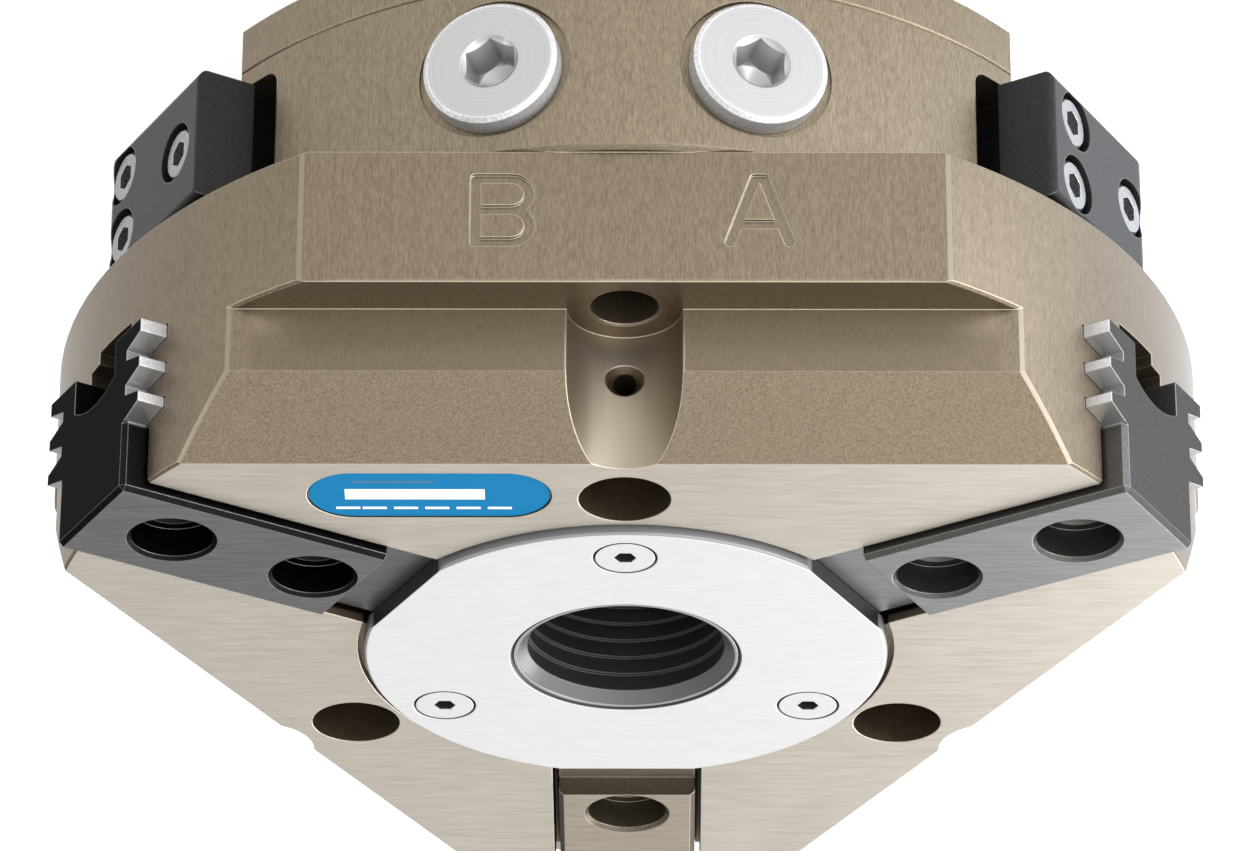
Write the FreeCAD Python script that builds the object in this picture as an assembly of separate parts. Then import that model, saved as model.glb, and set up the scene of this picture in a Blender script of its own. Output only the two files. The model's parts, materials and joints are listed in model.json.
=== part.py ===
import math
import os

import FreeCAD
import Part

os.makedirs("parts", exist_ok=True)
V = FreeCAD.Vector

# Directions around the axis, in degrees from +X
JAW_ANGLES = (90, 210, 330)
FLAT_ANGLES = (270, 30, 150)
PORT_ANGLES = (255, 285)

# Head: the wide upper part of the housing
HEAD_R = 60.0
HEAD_Z0 = 26.5
HEAD_Z1 = 56.5
FLAT_R = 50.6
LEDGE_Z = 41.5
WALL_R = 45.25
WALL_Z = 48.6
SLANT_R = 40.5
EDGE = 0.28
FLANGE_EDGE = 0.5
JAW_EDGE = 0.5

# Flange: the narrower rear part, flat on both sides, and the cover behind it
FLANGE_R = 51.6
FLANGE_X = 39.8
COVER_Z = 6.3
COVER_EDGE = 1.2

# Mounting holes, face holes, purge hole
MOUNT_R = 45.3
MOUNT_HOLE_R = 3.4
SCALLOP_R = 5.8
FACE_HOLE_AT = 33.16
FACE_HOLE_R = 4.65
FACE_HOLE_DEEP = 7.0
FACE_HOLE_TIP = 1.4
PURGE_Z = 46.5
PURGE_R = 1.2
PURGE_MOUTH = 2.3
PURGE_SINK = (38.7, 40.3)
DOWEL_AT = 30.0
DOWEL_R = 3.0
DOWEL_DEEP = 5.0
DOWEL_TIP = 1.5

# Cylinder, piston and rod
STROKE = 8.0
JAW_TRAVEL = 5.0
SLOPE = JAW_TRAVEL / STROKE
BORE_R = 34.0
BORE_Z = 26.0
PISTON_R = 33.9
PISTON_Z0 = 16.5
PISTON_Z1 = 25.5
NUT_R = 20.5
NUT_Z = 20.0
SEAT_R = 15.5
NECK_R = 16.5
NECK_IN = 12.6
ROD_GAP = 0.1
COVER_SPIGOT_Z = 8.2
COVER_SPIGOT_IN = 15.2

# Seal and guide grooves: (depth radius, lower end, upper end)
PISTON_GROOVE = (31.4, 21.6, 24.4)
GUIDE_GROOVE = (32.4, 17.6, 20.2)
NECK_GROOVE = (14.2, 21.0, 23.4)
ROD_GROOVE = (18.8, 27.0, 29.2)
SLEEVE_GROOVE = (14.05, 3.3, 4.8)
COVER_GROOVE = (32.6, 7.0, 7.9)
CLIP_GROOVE = (11.9, 6.5, 7.4)
SEAL_PLAY = 0.1
LIP_FIT = 0.05

# Centre sleeve
SLEEVE_R = 12.5
SLEEVE_IN = 10.25
SLEEVE_Z = 55.5
SPIGOT_R = 11.7
SPIGOT_TOP = 57.1
SLEEVE_FOOT_R = 14.5
SLEEVE_FOOT = 2.0
CONE_R = 11.35
RIB_PITCH = 2.0
RIB_DEEP = 0.35
RIB_COUNT = 6

# Wedge drive: the inclined faces turn the stroke down into jaw travel inwards
CAVITY_Z = 30.2
CAVITY_R = 17.5
LOBE_Z0 = 38.6
LOBE_Z1 = 53.6
LOBE_TOP_R = 20.5
LOBE_HALF = 9.5
HUB_R = 17.2
CHANNEL_HALF = 9.8
CHANNEL_R = 30.3
LIP = 2.2
POCKET = 3.4
SLOT_NECK = 4.2
SLOT_HEAD = 7.2
PLAY = 0.2

# Jaws
JAW_TOP = 57.5
JAW_STEP = 55.3
JAW_Z0 = 39.5
JAW_END = 62.0
JAW_PAD = 32.1
JAW_TIP = 21.0
JAW_HALF = 7.35
TOOTH_HALF = 10.35
TOOTH_Z = (40.4, 44.4, 48.4)
TOOTH_FLAT = 0.55
TOOTH_FLANK = 0.9
SLOT_HALF = 8.0
SLOT_Z0 = 39.3
SLIDE_FIT = 0.1
JAW_HOLES = (36.7, 52.7)
JAW_HOLE_R = 4.2
JAW_HOLE_DEEP = 3.5
JAW_THREAD_R = 2.5
JAW_THREAD_Z = 46.6
JAW_THREAD_TIP = 1.2
NOTCH_HALF = 4.6
NOTCH_TOP = 44.7
NOTCH_ARC = 8.8
NOTCH_LONG = 14.0
RELIEF_AT = 48.0
RELIEF_HALF = 6.0
RELIEF_Z = 37.4
GROOVE_HALF = 3.7
GROOVE_Z = 36.1

# Front plate
PLATE_R = 27.2
PLATE_FLAT = 26.0
PLATE_Z1 = 57.3
PLATE_HOLE_R = 11.8
RECESS_R = 27.9
PLATE_SCREW_AT = 22.1
PLATE_SCREW_R = 1.5
PLATE_SINK_R = 3.35
PLATE_SINK = 1.6
PLATE_TAP_Z = 47.9

# Ports, at the same height in the flange
PORT_Z = 16.2
PORT_R = 4.9
PORT_IN = 38.5
SPOT_R = 7.9
SPOT_AT = 50.5
PLUG_OUT = 53.0
PLUG_COLLAR_R = 7.0
SEAL_OUT = 51.4
CHANNEL_AT = 37.3

# Sensor brackets in flange pockets
BRACKET_ANGLES = (210, 330)
BRACKET_IN = 40.3
BRACKET_OUT = 57.1
BRACKET_NEAR = 11.7
BRACKET_FAR = 10.0
BRACKET_STEP = 50.9
BRACKET_FOOT_HALF = 8.4
BRACKET_Z0 = 9.3
BRACKET_Z1 = 24.1
BRACKET_SINK = 3.4
BRACKET_SINK_R = 3.2
BRACKET_HEAD = 3.0
BRACKET_HEAD_R = 2.75
BRACKET_TAP_R = 1.3
POCKET_FLOOR = 40.2
POCKET_HALF = 14.2
POCKET_Z0 = 8.4
POCKET_CORNER = 1.5

# Rear cover screws
COVER_SCREWS = (242, 298, 48, 70, 110, 132)
COVER_SCREW_AT = 42.5
COVER_SCREW_R = 2.45
COVER_TAP_R = 2.55
COVER_HEAD_R = 4.2
COVER_HEAD_Z = 3.5
COVER_SCREW_TOP = 16.0

# Nameplate in the front face, left of the front mounting hole
NAME_X = 19.5
NAME_Y = -33.9
NAME_LONG = 24.5
NAME_WIDE = 9.3
NAME_DEEP = 0.45
NAME_GAP = 0.2
NAME_SUNK = 0.12


def cyl(r, z0, z1, x=0.0, y=0.0):
    return Part.makeCylinder(r, z1 - z0, V(x, y, z0), V(0, 0, 1))


def tube(ro, ri, z0, z1, x=0.0, y=0.0):
    return cyl(ro, z0, z1, x, y).cut(cyl(ri, z0 - 1, z1 + 1, x, y))


def cone(r0, r1, z0, z1, x=0.0, y=0.0):
    return Part.makeCone(r0, r1, z1 - z0, V(x, y, z0), V(0, 0, 1))


def box(x0, x1, y0, y1, z0, z1):
    return Part.makeBox(x1 - x0, y1 - y0, z1 - z0, V(x0, y0, z0))


def rod_x(r, x0, x1, y, z):
    return Part.makeCylinder(r, x1 - x0, V(x0, y, z), V(1, 0, 0))


def cone_x(r0, r1, x0, x1, y, z):
    return Part.makeCone(r0, r1, x1 - x0, V(x0, y, z), V(1, 0, 0))


def prism_xz(points, half):
    corners = [V(x, -half, z) for x, z in points]
    face = Part.Face(Part.makePolygon(corners + corners[:1]))
    return face.extrude(V(0, 2 * half, 0))


def prism_yz(points, x0, x1):
    corners = [V(x0, y, z) for y, z in points]
    face = Part.Face(Part.makePolygon(corners + corners[:1]))
    return face.extrude(V(x1 - x0, 0, 0))


def prism_xy(points, z0, z1):
    corners = [V(x, y, z0) for x, y in points]
    face = Part.Face(Part.makePolygon(corners + corners[:1]))
    return face.extrude(V(0, 0, z1 - z0))


def turned(points):
    """Solid of revolution about Z from a closed (radius, z) outline."""
    corners = [V(r, 0, z) for r, z in points]
    face = Part.Face(Part.makePolygon(corners + corners[:1]))
    return face.revolve(V(0, 0, 0), V(0, 0, 1), 360)


def hexagon(across_flats, z0, z1, x=0.0, y=0.0):
    r = across_flats / math.sqrt(3)
    turn = [math.radians(60 * i) for i in range(6)]
    return prism_xy([(x + r * math.cos(a), y + r * math.sin(a)) for a in turn], z0, z1)


def at(shape, angle):
    """Turn a shape drawn along +X to face the given direction."""
    return shape.rotated(V(0, 0, 0), V(0, 0, 1), angle)


def around(shape, angles):
    return [at(shape, angle) for angle in angles]


def polar(r, angle):
    a = math.radians(angle)
    return r * math.cos(a), r * math.sin(a)


def fuse(shapes):
    return shapes[0].multiFuse(shapes[1:]) if len(shapes) > 1 else shapes[0]


def along_x(shape):
    """Turn a shape drawn along +Z to lie along +X."""
    return shape.rotated(V(0, 0, 0), V(0, 1, 0), 90)


def chamfer(shape, size, wanted):
    edges = [e for e in shape.Edges if wanted(e)]
    return shape.makeChamfer(size, edges)


def fillet(shape, size, wanted):
    edges = [e for e in shape.Edges if wanted(e)]
    return shape.makeFillet(size, edges)


def save(node, shapes):
    solids = [s for shape in shapes for s in shape.Solids]
    for solid in solids:
        assert solid.isValid() and solid.Volume > 0, node
    out = solids[0] if len(solids) == 1 else Part.makeCompound(solids)
    out.exportStep("parts/" + node + ".step")


def face_r(z):
    """Radius of the inclined drive face at height z, piston up."""
    return LOBE_TOP_R + SLOPE * (LOBE_Z1 - z)


def slanted(r_low, r_high, z0, z1, half):
    """Block between two lines parallel to the inclined drive face."""
    corners = [(face_r(z0) + r_low, z0), (face_r(z0) + r_high, z0)]
    corners += [(face_r(z1) + r_high, z1), (face_r(z1) + r_low, z1)]
    return prism_xz(corners, half)


def toothed(flat, flank, tip, root, top_half, z_floor, z_top):
    """Outline across a jaw or its slot, with three teeth on each flank."""
    side = [(tip, z_floor)]
    for z in TOOTH_Z:
        if z - flat > z_floor:
            side.append((root, max(z - flat - flank, z_floor)))
            side.append((tip, z - flat))
        side.append((tip, z + flat))
        side.append((root, z + flat + flank))
    if top_half > root:
        side.append((top_half, side[-1][1]))
    side.append((top_half, z_top))
    clean = [p for p in side if p != (root, z_floor)]
    return [(-y, z) for y, z in clean] + [(y, z) for y, z in reversed(clean)]


# ---------------------------------------------------------------- housing
def head_blank():
    blank = cyl(HEAD_R, HEAD_Z0, HEAD_Z1)
    side = [(FLAT_R, HEAD_Z0 - 1), (FLAT_R, LEDGE_Z), (WALL_R, LEDGE_Z), (WALL_R, WALL_Z)]
    side += [(SLANT_R, HEAD_Z1), (SLANT_R, HEAD_Z1 + 1), (70, HEAD_Z1 + 1), (70, HEAD_Z0 - 1)]
    blank = blank.cut(around(prism_xz(side, 60), FLAT_ANGLES))

    def outer(e):
        points = e.discretize(5)
        return min(math.hypot(p.x, p.y) for p in points) > HEAD_R - 0.01

    return chamfer(blank, EDGE, outer)


def flange_blank(z0, z1, lower_edge=0.0, upper_edge=0.0):
    blank = cyl(FLANGE_R, z0, z1)
    if lower_edge:
        blank = chamfer(blank, lower_edge, lambda e: e.BoundBox.ZMax < z0 + 0.01)
    if upper_edge:
        blank = chamfer(blank, upper_edge, lambda e: e.BoundBox.ZMin > z1 - 0.01)
    return blank.common(box(-FLANGE_X, FLANGE_X, -FLANGE_R, FLANGE_R, z0, z1))


def jaw_slot():
    """Slot along +X with grooves for the jaw teeth, open to the outside."""
    outline = toothed(TOOTH_FLAT + SLIDE_FIT, TOOTH_FLANK, TOOTH_HALF + 0.2,
                      JAW_HALF + 0.15, SLOT_HALF, SLOT_Z0, HEAD_Z1 + 1)
    slot = prism_yz(outline, 8, 70)
    relief = box(RELIEF_AT, 70, -RELIEF_HALF, RELIEF_HALF, RELIEF_Z, SLOT_Z0 + 0.5)
    groove = box(RELIEF_AT, 70, -GROOVE_HALF, GROOVE_HALF, GROOVE_Z, SLOT_Z0 + 0.5)
    return slot.multiFuse([relief, groove])


def stroke_bar(p, q, wide, deep):
    """One straight engraved stroke on the front flat, from p to q in (x, z)."""
    dx, dz = q[0] - p[0], q[1] - p[1]
    length = math.hypot(dx, dz)
    nx, nz = -dz / length * wide / 2, dx / length * wide / 2
    ends = [(p[0] + nx, p[1] + nz), (q[0] + nx, q[1] + nz)]
    ends += [(q[0] - nx, q[1] - nz), (p[0] - nx, p[1] - nz)]
    corners = [V(x, -FLAT_R - 1, z) for x, z in ends]
    face = Part.Face(Part.makePolygon(corners + corners[:1]))
    return face.extrude(V(0, 1 + deep, 0))


def bowl(x, z, r):
    """Half circle open towards +X, as points in (x, z)."""
    turn = [math.radians(a) for a in range(-90, 91, 18)]
    return [(x - r * math.cos(a), z + r * math.sin(a)) for a in turn]


def port_marks():
    """Port letters A and B, read with the jaws pointing down."""
    top, middle, foot, bar = 29.6, 33.2, 36.9, 34.85
    wide, deep = 1.05, 0.35
    stem, bend = 14.85, 11.3
    upper = [(stem, top)] + bowl(bend, (top + middle) / 2, (middle - top) / 2) + [(stem, middle)]
    lower = [(stem, middle)] + bowl(bend, (middle + foot) / 2, (foot - middle) / 2) + [(stem, foot)]
    outlines = [upper, lower, [(stem, top), (stem, foot)]]
    outlines += [[(-10.45, foot), (-12.95, top), (-13.85, top), (-16.35, foot)]]
    outlines += [[(-11.2, bar), (-15.6, bar)]]
    cuts = []
    for line in outlines:
        cuts += [stroke_bar(p, q, wide, deep) for p, q in zip(line, line[1:])]
        cuts += [Part.makeCylinder(wide / 2, 1 + deep, V(x, -FLAT_R - 1, z), V(0, 1, 0)) for x, z in line]
    return cuts


def stadium(long, wide, z0, z1):
    half = (long - wide) / 2
    bar = box(NAME_X - half, NAME_X + half, NAME_Y - wide / 2, NAME_Y + wide / 2, z0, z1)
    ends = [cyl(wide / 2, z0, z1, NAME_X + s * half, NAME_Y) for s in (-1, 1)]
    return bar.multiFuse(ends)


def housing():
    body = head_blank().fuse(flange_blank(COVER_Z, HEAD_Z0, 0.2, FLANGE_EDGE))
    hollow = [cyl(BORE_R, COVER_Z - 1, BORE_Z), cyl(NECK_R + ROD_GAP, BORE_Z - 1, CAVITY_Z + 1)]
    hollow += [cone(BORE_R + 0.6, BORE_R, COVER_Z, COVER_Z + 0.6)]
    hollow += [cyl(CAVITY_R, CAVITY_Z, HEAD_Z1), cyl(*ROD_GROOVE)]
    hollow += [cyl(RECESS_R, SLEEVE_Z, HEAD_Z1 + 1)]
    channel = box(8, CHANNEL_R, -CHANNEL_HALF, CHANNEL_HALF, CAVITY_Z, SLEEVE_Z)
    hollow += around(channel, JAW_ANGLES)
    hollow += around(jaw_slot(), JAW_ANGLES)
    body = body.cut(hollow)

    drilled = []
    for angle in FLAT_ANGLES:
        x, y = polar(MOUNT_R, angle)
        drilled.append(cyl(MOUNT_HOLE_R, 0, LEDGE_Z + 1, x, y))
        drilled.append(cone(MOUNT_HOLE_R, MOUNT_HOLE_R + 0.2, LEDGE_Z - 0.2, LEDGE_Z, x, y))
        drilled.append(cyl(SCALLOP_R, LEDGE_Z, HEAD_Z1 + 1, x, y))
        x, y = polar(FACE_HOLE_AT, angle)
        floor = HEAD_Z1 - FACE_HOLE_DEEP
        drilled.append(cyl(FACE_HOLE_R, floor, HEAD_Z1 + 1, x, y))
        drilled.append(cone(0.4, FACE_HOLE_R, floor - FACE_HOLE_TIP, floor, x, y))
        x, y = polar(PLATE_SCREW_AT, angle)
        drilled.append(cyl(PLATE_SCREW_R + 0.05, PLATE_TAP_Z, SLEEVE_Z + 1, x, y))
    drilled.append(at(rod_x(PURGE_R, 15, 42, 0, PURGE_Z), 270))
    drilled.append(at(cone_x(PURGE_R, PURGE_MOUTH, *PURGE_SINK, 0, PURGE_Z), 270))
    for angle in COVER_SCREWS:
        x, y = polar(COVER_SCREW_AT, angle)
        drilled.append(cyl(COVER_TAP_R, COVER_Z - 1, COVER_SCREW_TOP + 1, x, y))
    body = body.cut(drilled)

    ports = []
    for angle, z_far in zip(PORT_ANGLES, (24.8, 9.7)):
        ports.append(at(rod_x(PORT_R, PORT_IN, 52, 0, PORT_Z), angle))
        ports.append(at(rod_x(SPOT_R, SPOT_AT, 56, 0, PORT_Z), angle))
        x, y = polar(CHANNEL_AT, angle)
        ports.append(cyl(1.3, COVER_Z - 1, max(z_far, PORT_Z), x, y))
        ports.append(at(rod_x(1.2, 33, CHANNEL_AT, 0, z_far), angle))
    for angle in BRACKET_ANGLES:
        pocket = box(POCKET_FLOOR, 62, -POCKET_HALF, POCKET_HALF, POCKET_Z0, HEAD_Z0)
        pocket = fillet(pocket, POCKET_CORNER, lambda e: abs(e.BoundBox.ZMax - POCKET_Z0) < 0.01
                        and e.BoundBox.YLength < 0.01)
        ports.append(at(pocket, angle))
        for y, z in bracket_holes():
            ports.append(at(rod_x(BRACKET_TAP_R, 36.0, 41, y, z), angle))
    body = body.cut(ports)
    marks = port_marks() + [stadium(NAME_LONG, NAME_WIDE, HEAD_Z1 - NAME_DEEP, HEAD_Z1 + 1)]
    return body.cut(marks)


# ---------------------------------------------------------------- jaws
def jaw():
    outline = toothed(TOOTH_FLAT, TOOTH_FLANK, TOOTH_HALF, JAW_HALF, JAW_HALF, JAW_Z0, JAW_TOP)
    body = prism_yz(outline, JAW_TIP, JAW_END)

    def pad_edge(e):
        b = e.BoundBox
        on_top = b.ZMin > JAW_TOP - 0.01
        on_end = b.XMin > JAW_END - 0.01 and b.ZMax > 50
        return on_top or on_end

    body = chamfer(body, JAW_EDGE, pad_edge)
    trims = [box(0, JAW_PAD, -12, 12, JAW_STEP, JAW_TOP + 1)]
    trims.append(slanted(-20, 0.25, JAW_Z0 - 1, LOBE_Z1, 12))
    notch = box(JAW_END - NOTCH_LONG, JAW_END + 1, -NOTCH_HALF, NOTCH_HALF, JAW_Z0 - 1, NOTCH_TOP + 1)
    arch = rod_x(NOTCH_ARC, JAW_END - NOTCH_LONG, JAW_END + 1, 0, NOTCH_TOP - NOTCH_ARC)
    trims.append(notch.common(arch))
    body = body.cut(trims)

    hook_top = 48.5
    neck = slanted(-LIP - PLAY, 0.6, JAW_Z0, hook_top, SLOT_NECK - PLAY)
    head = slanted(-LIP - POCKET + PLAY, -LIP - PLAY, JAW_Z0, hook_top, SLOT_HEAD - PLAY)
    body = body.multiFuse([neck, head])
    holes = []
    shelf = JAW_TOP - JAW_HOLE_DEEP
    for x in JAW_HOLES:
        holes.append(cyl(JAW_HOLE_R, shelf, JAW_TOP + 1, x))
        holes.append(cone(JAW_HOLE_R, JAW_HOLE_R + 0.4, JAW_TOP - 0.4, JAW_TOP, x))
        holes.append(cone(JAW_THREAD_R, JAW_THREAD_R + 0.6, shelf - 0.6, shelf, x))
        holes.append(cyl(JAW_THREAD_R, JAW_THREAD_Z, shelf, x))
        holes.append(cone(0.3, JAW_THREAD_R, JAW_THREAD_Z - JAW_THREAD_TIP, JAW_THREAD_Z, x))
    return body.cut(holes).removeSplitter()


# ---------------------------------------------------------------- drive
def wedge_hook():
    lobe = slanted(-30, 0, LOBE_Z0, LOBE_Z1, LOBE_HALF).cut(box(-30, 0, -20, 20, 0, 60))
    hook = cyl(HUB_R, LOBE_Z0, LOBE_Z1).multiFuse(around(lobe, JAW_ANGLES))
    shaft = [cyl(NECK_R, PISTON_Z1, LOBE_Z0), cyl(SEAT_R, PISTON_Z0 + 0.2, PISTON_Z1)]
    hook = hook.multiFuse(shaft)
    lip = slanted(-LIP - 0.01, 1, JAW_Z0 - 0.4, LOBE_Z1 + 1, SLOT_NECK)
    pocket = slanted(-LIP - POCKET, -LIP, JAW_Z0 - 0.4, LOBE_Z1 + 1, SLOT_HEAD)
    cuts = around(lip, JAW_ANGLES) + around(pocket, JAW_ANGLES)
    cuts += [cyl(NECK_IN, 0, 60), cyl(*NECK_GROOVE)]
    return hook.cut(cuts)


def piston():
    body = cyl(PISTON_R, PISTON_Z0, PISTON_Z1)
    cuts = [cyl(SEAT_R + 0.05, 0, 60), cyl(NUT_R + 0.3, 0, NUT_Z)]
    cuts += [tube(PISTON_R + 1, *groove) for groove in (PISTON_GROOVE, GUIDE_GROOVE)]
    return body.cut(cuts)


def ring_nut():
    body = tube(NUT_R, SEAT_R + 0.05, PISTON_Z0 + 0.4, NUT_Z)
    slot = box(NUT_R - 2.0, NUT_R + 2, -1.5, 1.5, 0, PISTON_Z0 + 2.2)
    return body.cut(around(slot, (0, 90, 180, 270)))


def outer_seal(groove, bore):
    """Ring sitting in a groove of a shaft and running in a bore."""
    depth, z0, z1 = groove
    return tube(bore - LIP_FIT, depth + SEAL_PLAY, z0 + SEAL_PLAY, z1 - SEAL_PLAY)


def inner_seal(groove, shaft):
    """Ring sitting in a groove of a bore and running on a shaft."""
    depth, z0, z1 = groove
    return tube(depth - SEAL_PLAY, shaft + LIP_FIT, z0 + SEAL_PLAY, z1 - SEAL_PLAY)


# ---------------------------------------------------------------- covers
def rear_cover():
    body = flange_blank(0, COVER_Z, COVER_EDGE, 0.2)
    body = body.fuse(cyl(BORE_R - 0.1, COVER_Z - 1, COVER_SPIGOT_Z))
    cuts = [cyl(SLEEVE_R + 0.05, -1, 10), cyl(SLEEVE_FOOT_R + 0.1, -1, SLEEVE_FOOT)]
    cuts += [cyl(*SLEEVE_GROOVE), cyl(COVER_SPIGOT_IN, COVER_Z + 0.1, COVER_SPIGOT_Z + 1)]
    cuts.append(tube(BORE_R + 0.5, *COVER_GROOVE))
    for angle in FLAT_ANGLES:
        cuts.append(cyl(MOUNT_HOLE_R, -1, COVER_Z + 1, *polar(MOUNT_R, angle)))
    for angle in COVER_SCREWS:
        x, y = polar(COVER_SCREW_AT, angle)
        cuts.append(cyl(COVER_SCREW_R + 0.3, -1, COVER_Z + 1, x, y))
        cuts.append(cyl(COVER_HEAD_R + 0.3, -1, COVER_HEAD_Z, x, y))
    for angle in (90, 270):
        x, y = polar(DOWEL_AT, angle)
        cuts.append(cyl(DOWEL_R, -1, DOWEL_DEEP, x, y))
        cuts.append(cone(DOWEL_R, 0.3, DOWEL_DEEP, DOWEL_DEEP + DOWEL_TIP, x, y))
    return body.cut(cuts)


def front_plate():
    body = cyl(PLATE_R, SLEEVE_Z, PLATE_Z1)
    body = chamfer(body, 0.25, lambda e: e.BoundBox.ZMin > PLATE_Z1 - 0.01)
    cuts = around(box(PLATE_FLAT, 40, -20, 20, 50, 60), JAW_ANGLES)
    cuts.append(cyl(PLATE_HOLE_R, 50, 60))
    cuts.append(cone(PLATE_HOLE_R, PLATE_HOLE_R + 0.3, PLATE_Z1 - 0.3, PLATE_Z1))
    for angle in FLAT_ANGLES:
        x, y = polar(PLATE_SCREW_AT, angle)
        cuts.append(cyl(PLATE_SCREW_R + 0.2, 50, 60, x, y))
        cuts.append(cone(PLATE_SINK_R - PLATE_SINK, PLATE_SINK_R, PLATE_Z1 - PLATE_SINK, PLATE_Z1, x, y))
    return body.cut(cuts)


def plate_screw(angle):
    x, y = polar(PLATE_SCREW_AT, angle)
    top, wide = PLATE_Z1 - 0.05, PLATE_SINK_R - 0.3
    head = cone(wide - PLATE_SINK, wide, top - PLATE_SINK, top, x, y)
    body = head.fuse(cyl(PLATE_SCREW_R, PLATE_TAP_Z + 0.4, PLATE_Z1 - 1, x, y))
    return body.cut(hexagon(2.0, PLATE_Z1 - 1.3, 60, x, y))


def center_sleeve():
    outline = [(SLEEVE_IN, 0), (SLEEVE_FOOT_R, 0), (SLEEVE_FOOT_R, SLEEVE_FOOT - 0.05)]
    outline += [(SLEEVE_R, SLEEVE_FOOT - 0.05), (SLEEVE_R, SLEEVE_Z), (SPIGOT_R, SLEEVE_Z)]
    outline += [(SPIGOT_R, SPIGOT_TOP), (CONE_R, SPIGOT_TOP), (CONE_R, SPIGOT_TOP - 0.12)]
    z = SPIGOT_TOP - 0.12 - (CONE_R - SLEEVE_IN)
    for i in range(RIB_COUNT):
        outline += [(SLEEVE_IN, z), (SLEEVE_IN, z - 0.15)]
        outline += [(SLEEVE_IN + RIB_DEEP, z - RIB_PITCH + 0.1)]
        z -= RIB_PITCH
    outline += [(SLEEVE_IN, z)]
    return turned(outline).cut(tube(SLEEVE_R + 1, *CLIP_GROOVE))


def retaining_ring():
    depth, z0, z1 = CLIP_GROOVE
    ring = tube(SLEEVE_R + 1.9, depth + 0.1, z0 + 0.05, z1 - 0.1)
    return ring.cut(box(0, 20, -2.5, 2.5, 5, 9))


def cover_screw(angle):
    x, y = polar(COVER_SCREW_AT, angle)
    head = cyl(COVER_HEAD_R, 0.4, COVER_HEAD_Z, x, y)
    body = head.fuse(cyl(COVER_SCREW_R, COVER_HEAD_Z, COVER_SCREW_TOP, x, y))
    return body.cut(hexagon(3.0, 0, 2.2, x, y))


# ---------------------------------------------------------------- ports
def port_plug(angle):
    shank = rod_x(PORT_R - 0.08, 41.5, PLUG_OUT - 1, 0, PORT_Z)
    collar = rod_x(PLUG_COLLAR_R, SPOT_AT + 0.05, PLUG_OUT, 0, PORT_Z)
    collar = chamfer(collar, 0.4, lambda e: e.BoundBox.XMin > PLUG_OUT - 0.01)
    collar = collar.cut(rod_x(PORT_R + 1.3, SPOT_AT - 1, SEAL_OUT, 0, PORT_Z))
    body = shank.fuse(collar)
    body = chamfer(body, 0.7, lambda e: e.BoundBox.XMax < 41.51)
    socket = along_x(hexagon(5.0, 0, 8)).translated(V(PLUG_OUT - 5.0, 0, PORT_Z))
    mouth = cone_x(2.5, 3.1, PLUG_OUT - 0.6, PLUG_OUT, 0, PORT_Z)
    tip = cone_x(0.5, 2.5, PLUG_OUT - 6.2, PLUG_OUT - 5.0, 0, PORT_Z)
    return at(body.cut([socket, mouth, tip]), angle)


def plug_seal(angle):
    ring = rod_x(PORT_R + 1.2, SPOT_AT + 0.05, SEAL_OUT - 0.05, 0, PORT_Z)
    return at(ring.cut(rod_x(PORT_R + 0.1, 40, 60, 0, PORT_Z)), angle)


def channel_plug(angle):
    return cyl(1.25, COVER_Z + 0.1, COVER_Z + 1.7, *polar(CHANNEL_AT, angle))


# ---------------------------------------------------------------- brackets
def bracket_holes():
    """Screw positions (across, height): two towards one edge, one opposite."""
    return ((6.3, 12.75), (6.3, 20.25), (-6.3, 16.55))


def bracket(angle):
    """Block reaching further towards the front, with a narrower foot behind it."""
    block = box(BRACKET_STEP, BRACKET_OUT, -BRACKET_FAR, BRACKET_NEAR, BRACKET_Z0, BRACKET_Z1)
    foot = box(BRACKET_IN, BRACKET_STEP, -BRACKET_FOOT_HALF, BRACKET_FOOT_HALF, BRACKET_Z0, BRACKET_Z1)

    def far_edge(e):
        b = e.BoundBox
        return b.XMin > BRACKET_OUT - 0.01 and b.YMax < 0.01 - BRACKET_FAR

    def outer(e):
        return e.BoundBox.XMin > BRACKET_OUT - 0.01

    block = fillet(block, 2.0, far_edge)
    block = fillet(block, 0.8, outer)
    if angle > 270:
        block = block.mirror(V(0, 0, 0), V(0, 1, 0))
    block = block.fuse(foot)
    cuts = []
    for y, z in bracket_holes():
        cuts.append(rod_x(1.7, 39, 60, y, z))
        cuts.append(rod_x(BRACKET_SINK_R, BRACKET_OUT - BRACKET_SINK, 60, y, z))
    return at(block.cut(cuts), angle)


def bracket_screw(angle, y, z):
    seat = BRACKET_OUT - BRACKET_SINK
    top = seat + BRACKET_HEAD
    head = chamfer(rod_x(BRACKET_HEAD_R, seat, top, y, z), 0.3, lambda e: e.BoundBox.XMin > top - 0.01)
    body = head.fuse(rod_x(BRACKET_TAP_R - 0.05, 36.6, seat, y, z))
    socket = along_x(hexagon(2.5, 0, 6)).translated(V(seat + 1.3, y, z))
    return at(body.cut(socket), angle)


# ---------------------------------------------------------------- output
save("housing", [housing()])
save("rear_cover", [rear_cover()])
save("front_plate", [front_plate()])
save("plate_screws", [plate_screw(angle) for angle in FLAT_ANGLES])
save("center_sleeve", [center_sleeve()])
save("sleeve_ring", [retaining_ring()])
save("cover_screws", [cover_screw(angle) for angle in COVER_SCREWS])

for angle in JAW_ANGLES:
    save("jaw_%03d" % angle, [at(jaw(), angle)])

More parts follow.
